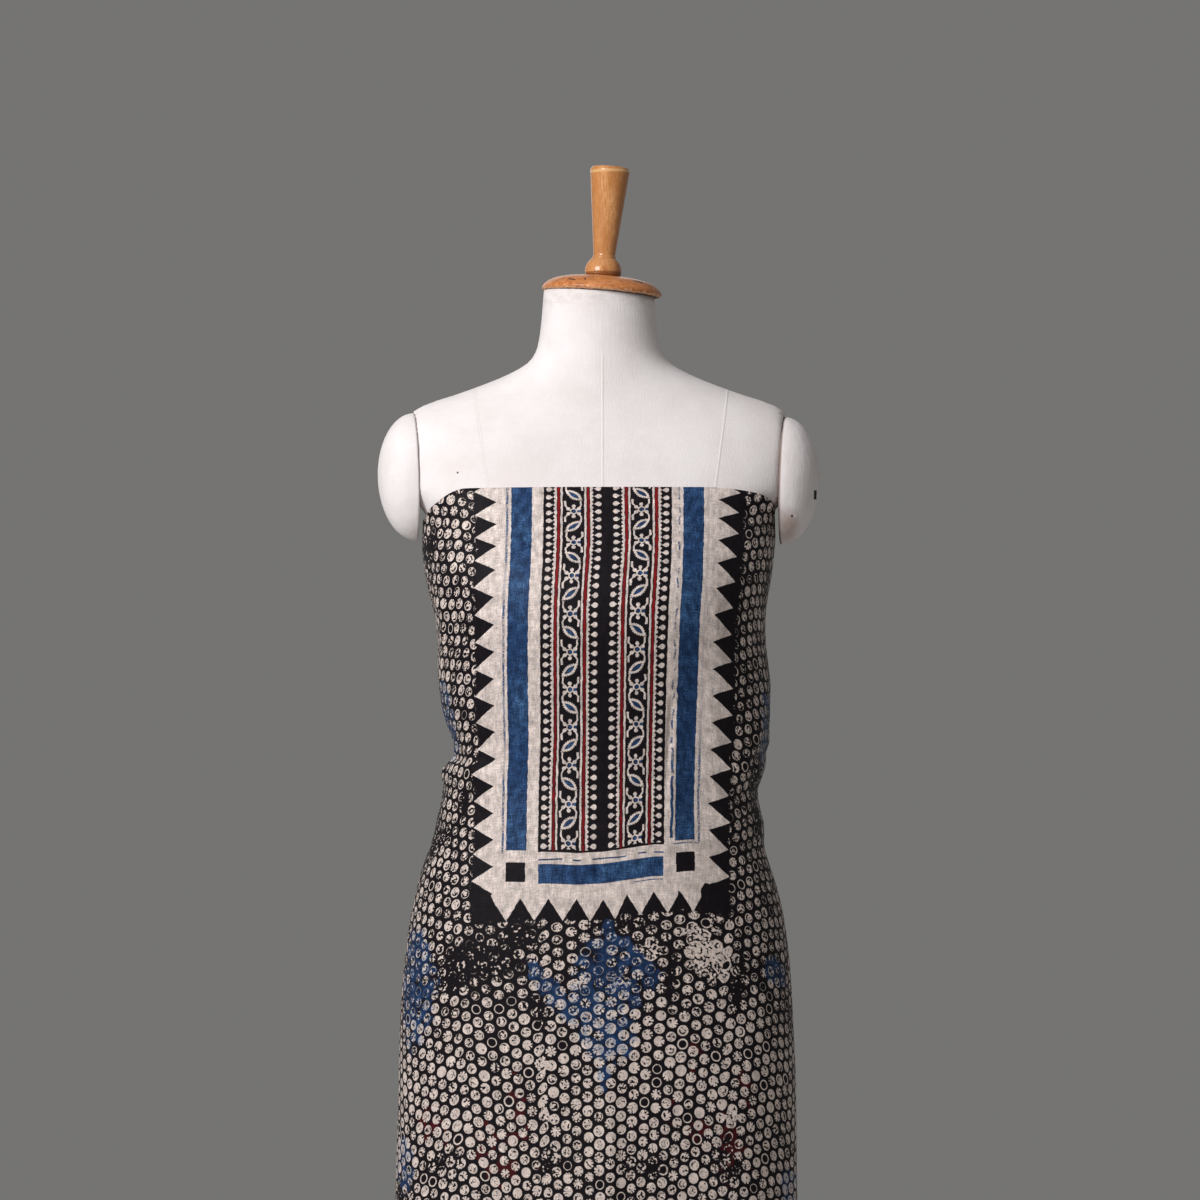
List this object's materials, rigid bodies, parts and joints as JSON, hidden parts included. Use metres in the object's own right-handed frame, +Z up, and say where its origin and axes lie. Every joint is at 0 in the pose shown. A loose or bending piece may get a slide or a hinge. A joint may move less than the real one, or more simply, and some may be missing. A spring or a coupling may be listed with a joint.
{
  "type": "ajrakh silk cloth on a dress form",
  "caption": "Block-printed silk cloth wrapped once round a padded dress form with arm caps, a wooden neck cap and handle, a pole and a round base.",
  "frame": {"origin": "on the floor, at the middle of the round base's underside, under the pole", "axes": "+Z up along the pole, the form's front faces -Y, +X is the viewer's right when the front is faced"},
  "size_m": [0.44, 0.44, 1.5744],
  "materials": {
    "silk": "block-printed silk: cream, black, indigo and madder red, soft sheen",
    "cover": "matte off-white woven cotton cover",
    "cap_wood": "orange-brown varnish, worn pale at the lip",
    "handle_wood": "glossy honey varnish",
    "stand_metal": "satin black"
  },
  "bodies": {
    "root": {"cloth": "silk", "torso": "cover", "arm_cap_left": "cover", "arm_cap_right": "cover", "neck_cap": "cap_wood", "handle": "handle_wood", "stand_pole": "stand_metal", "stand_base": "stand_metal"}
  },
  "joints": []
}
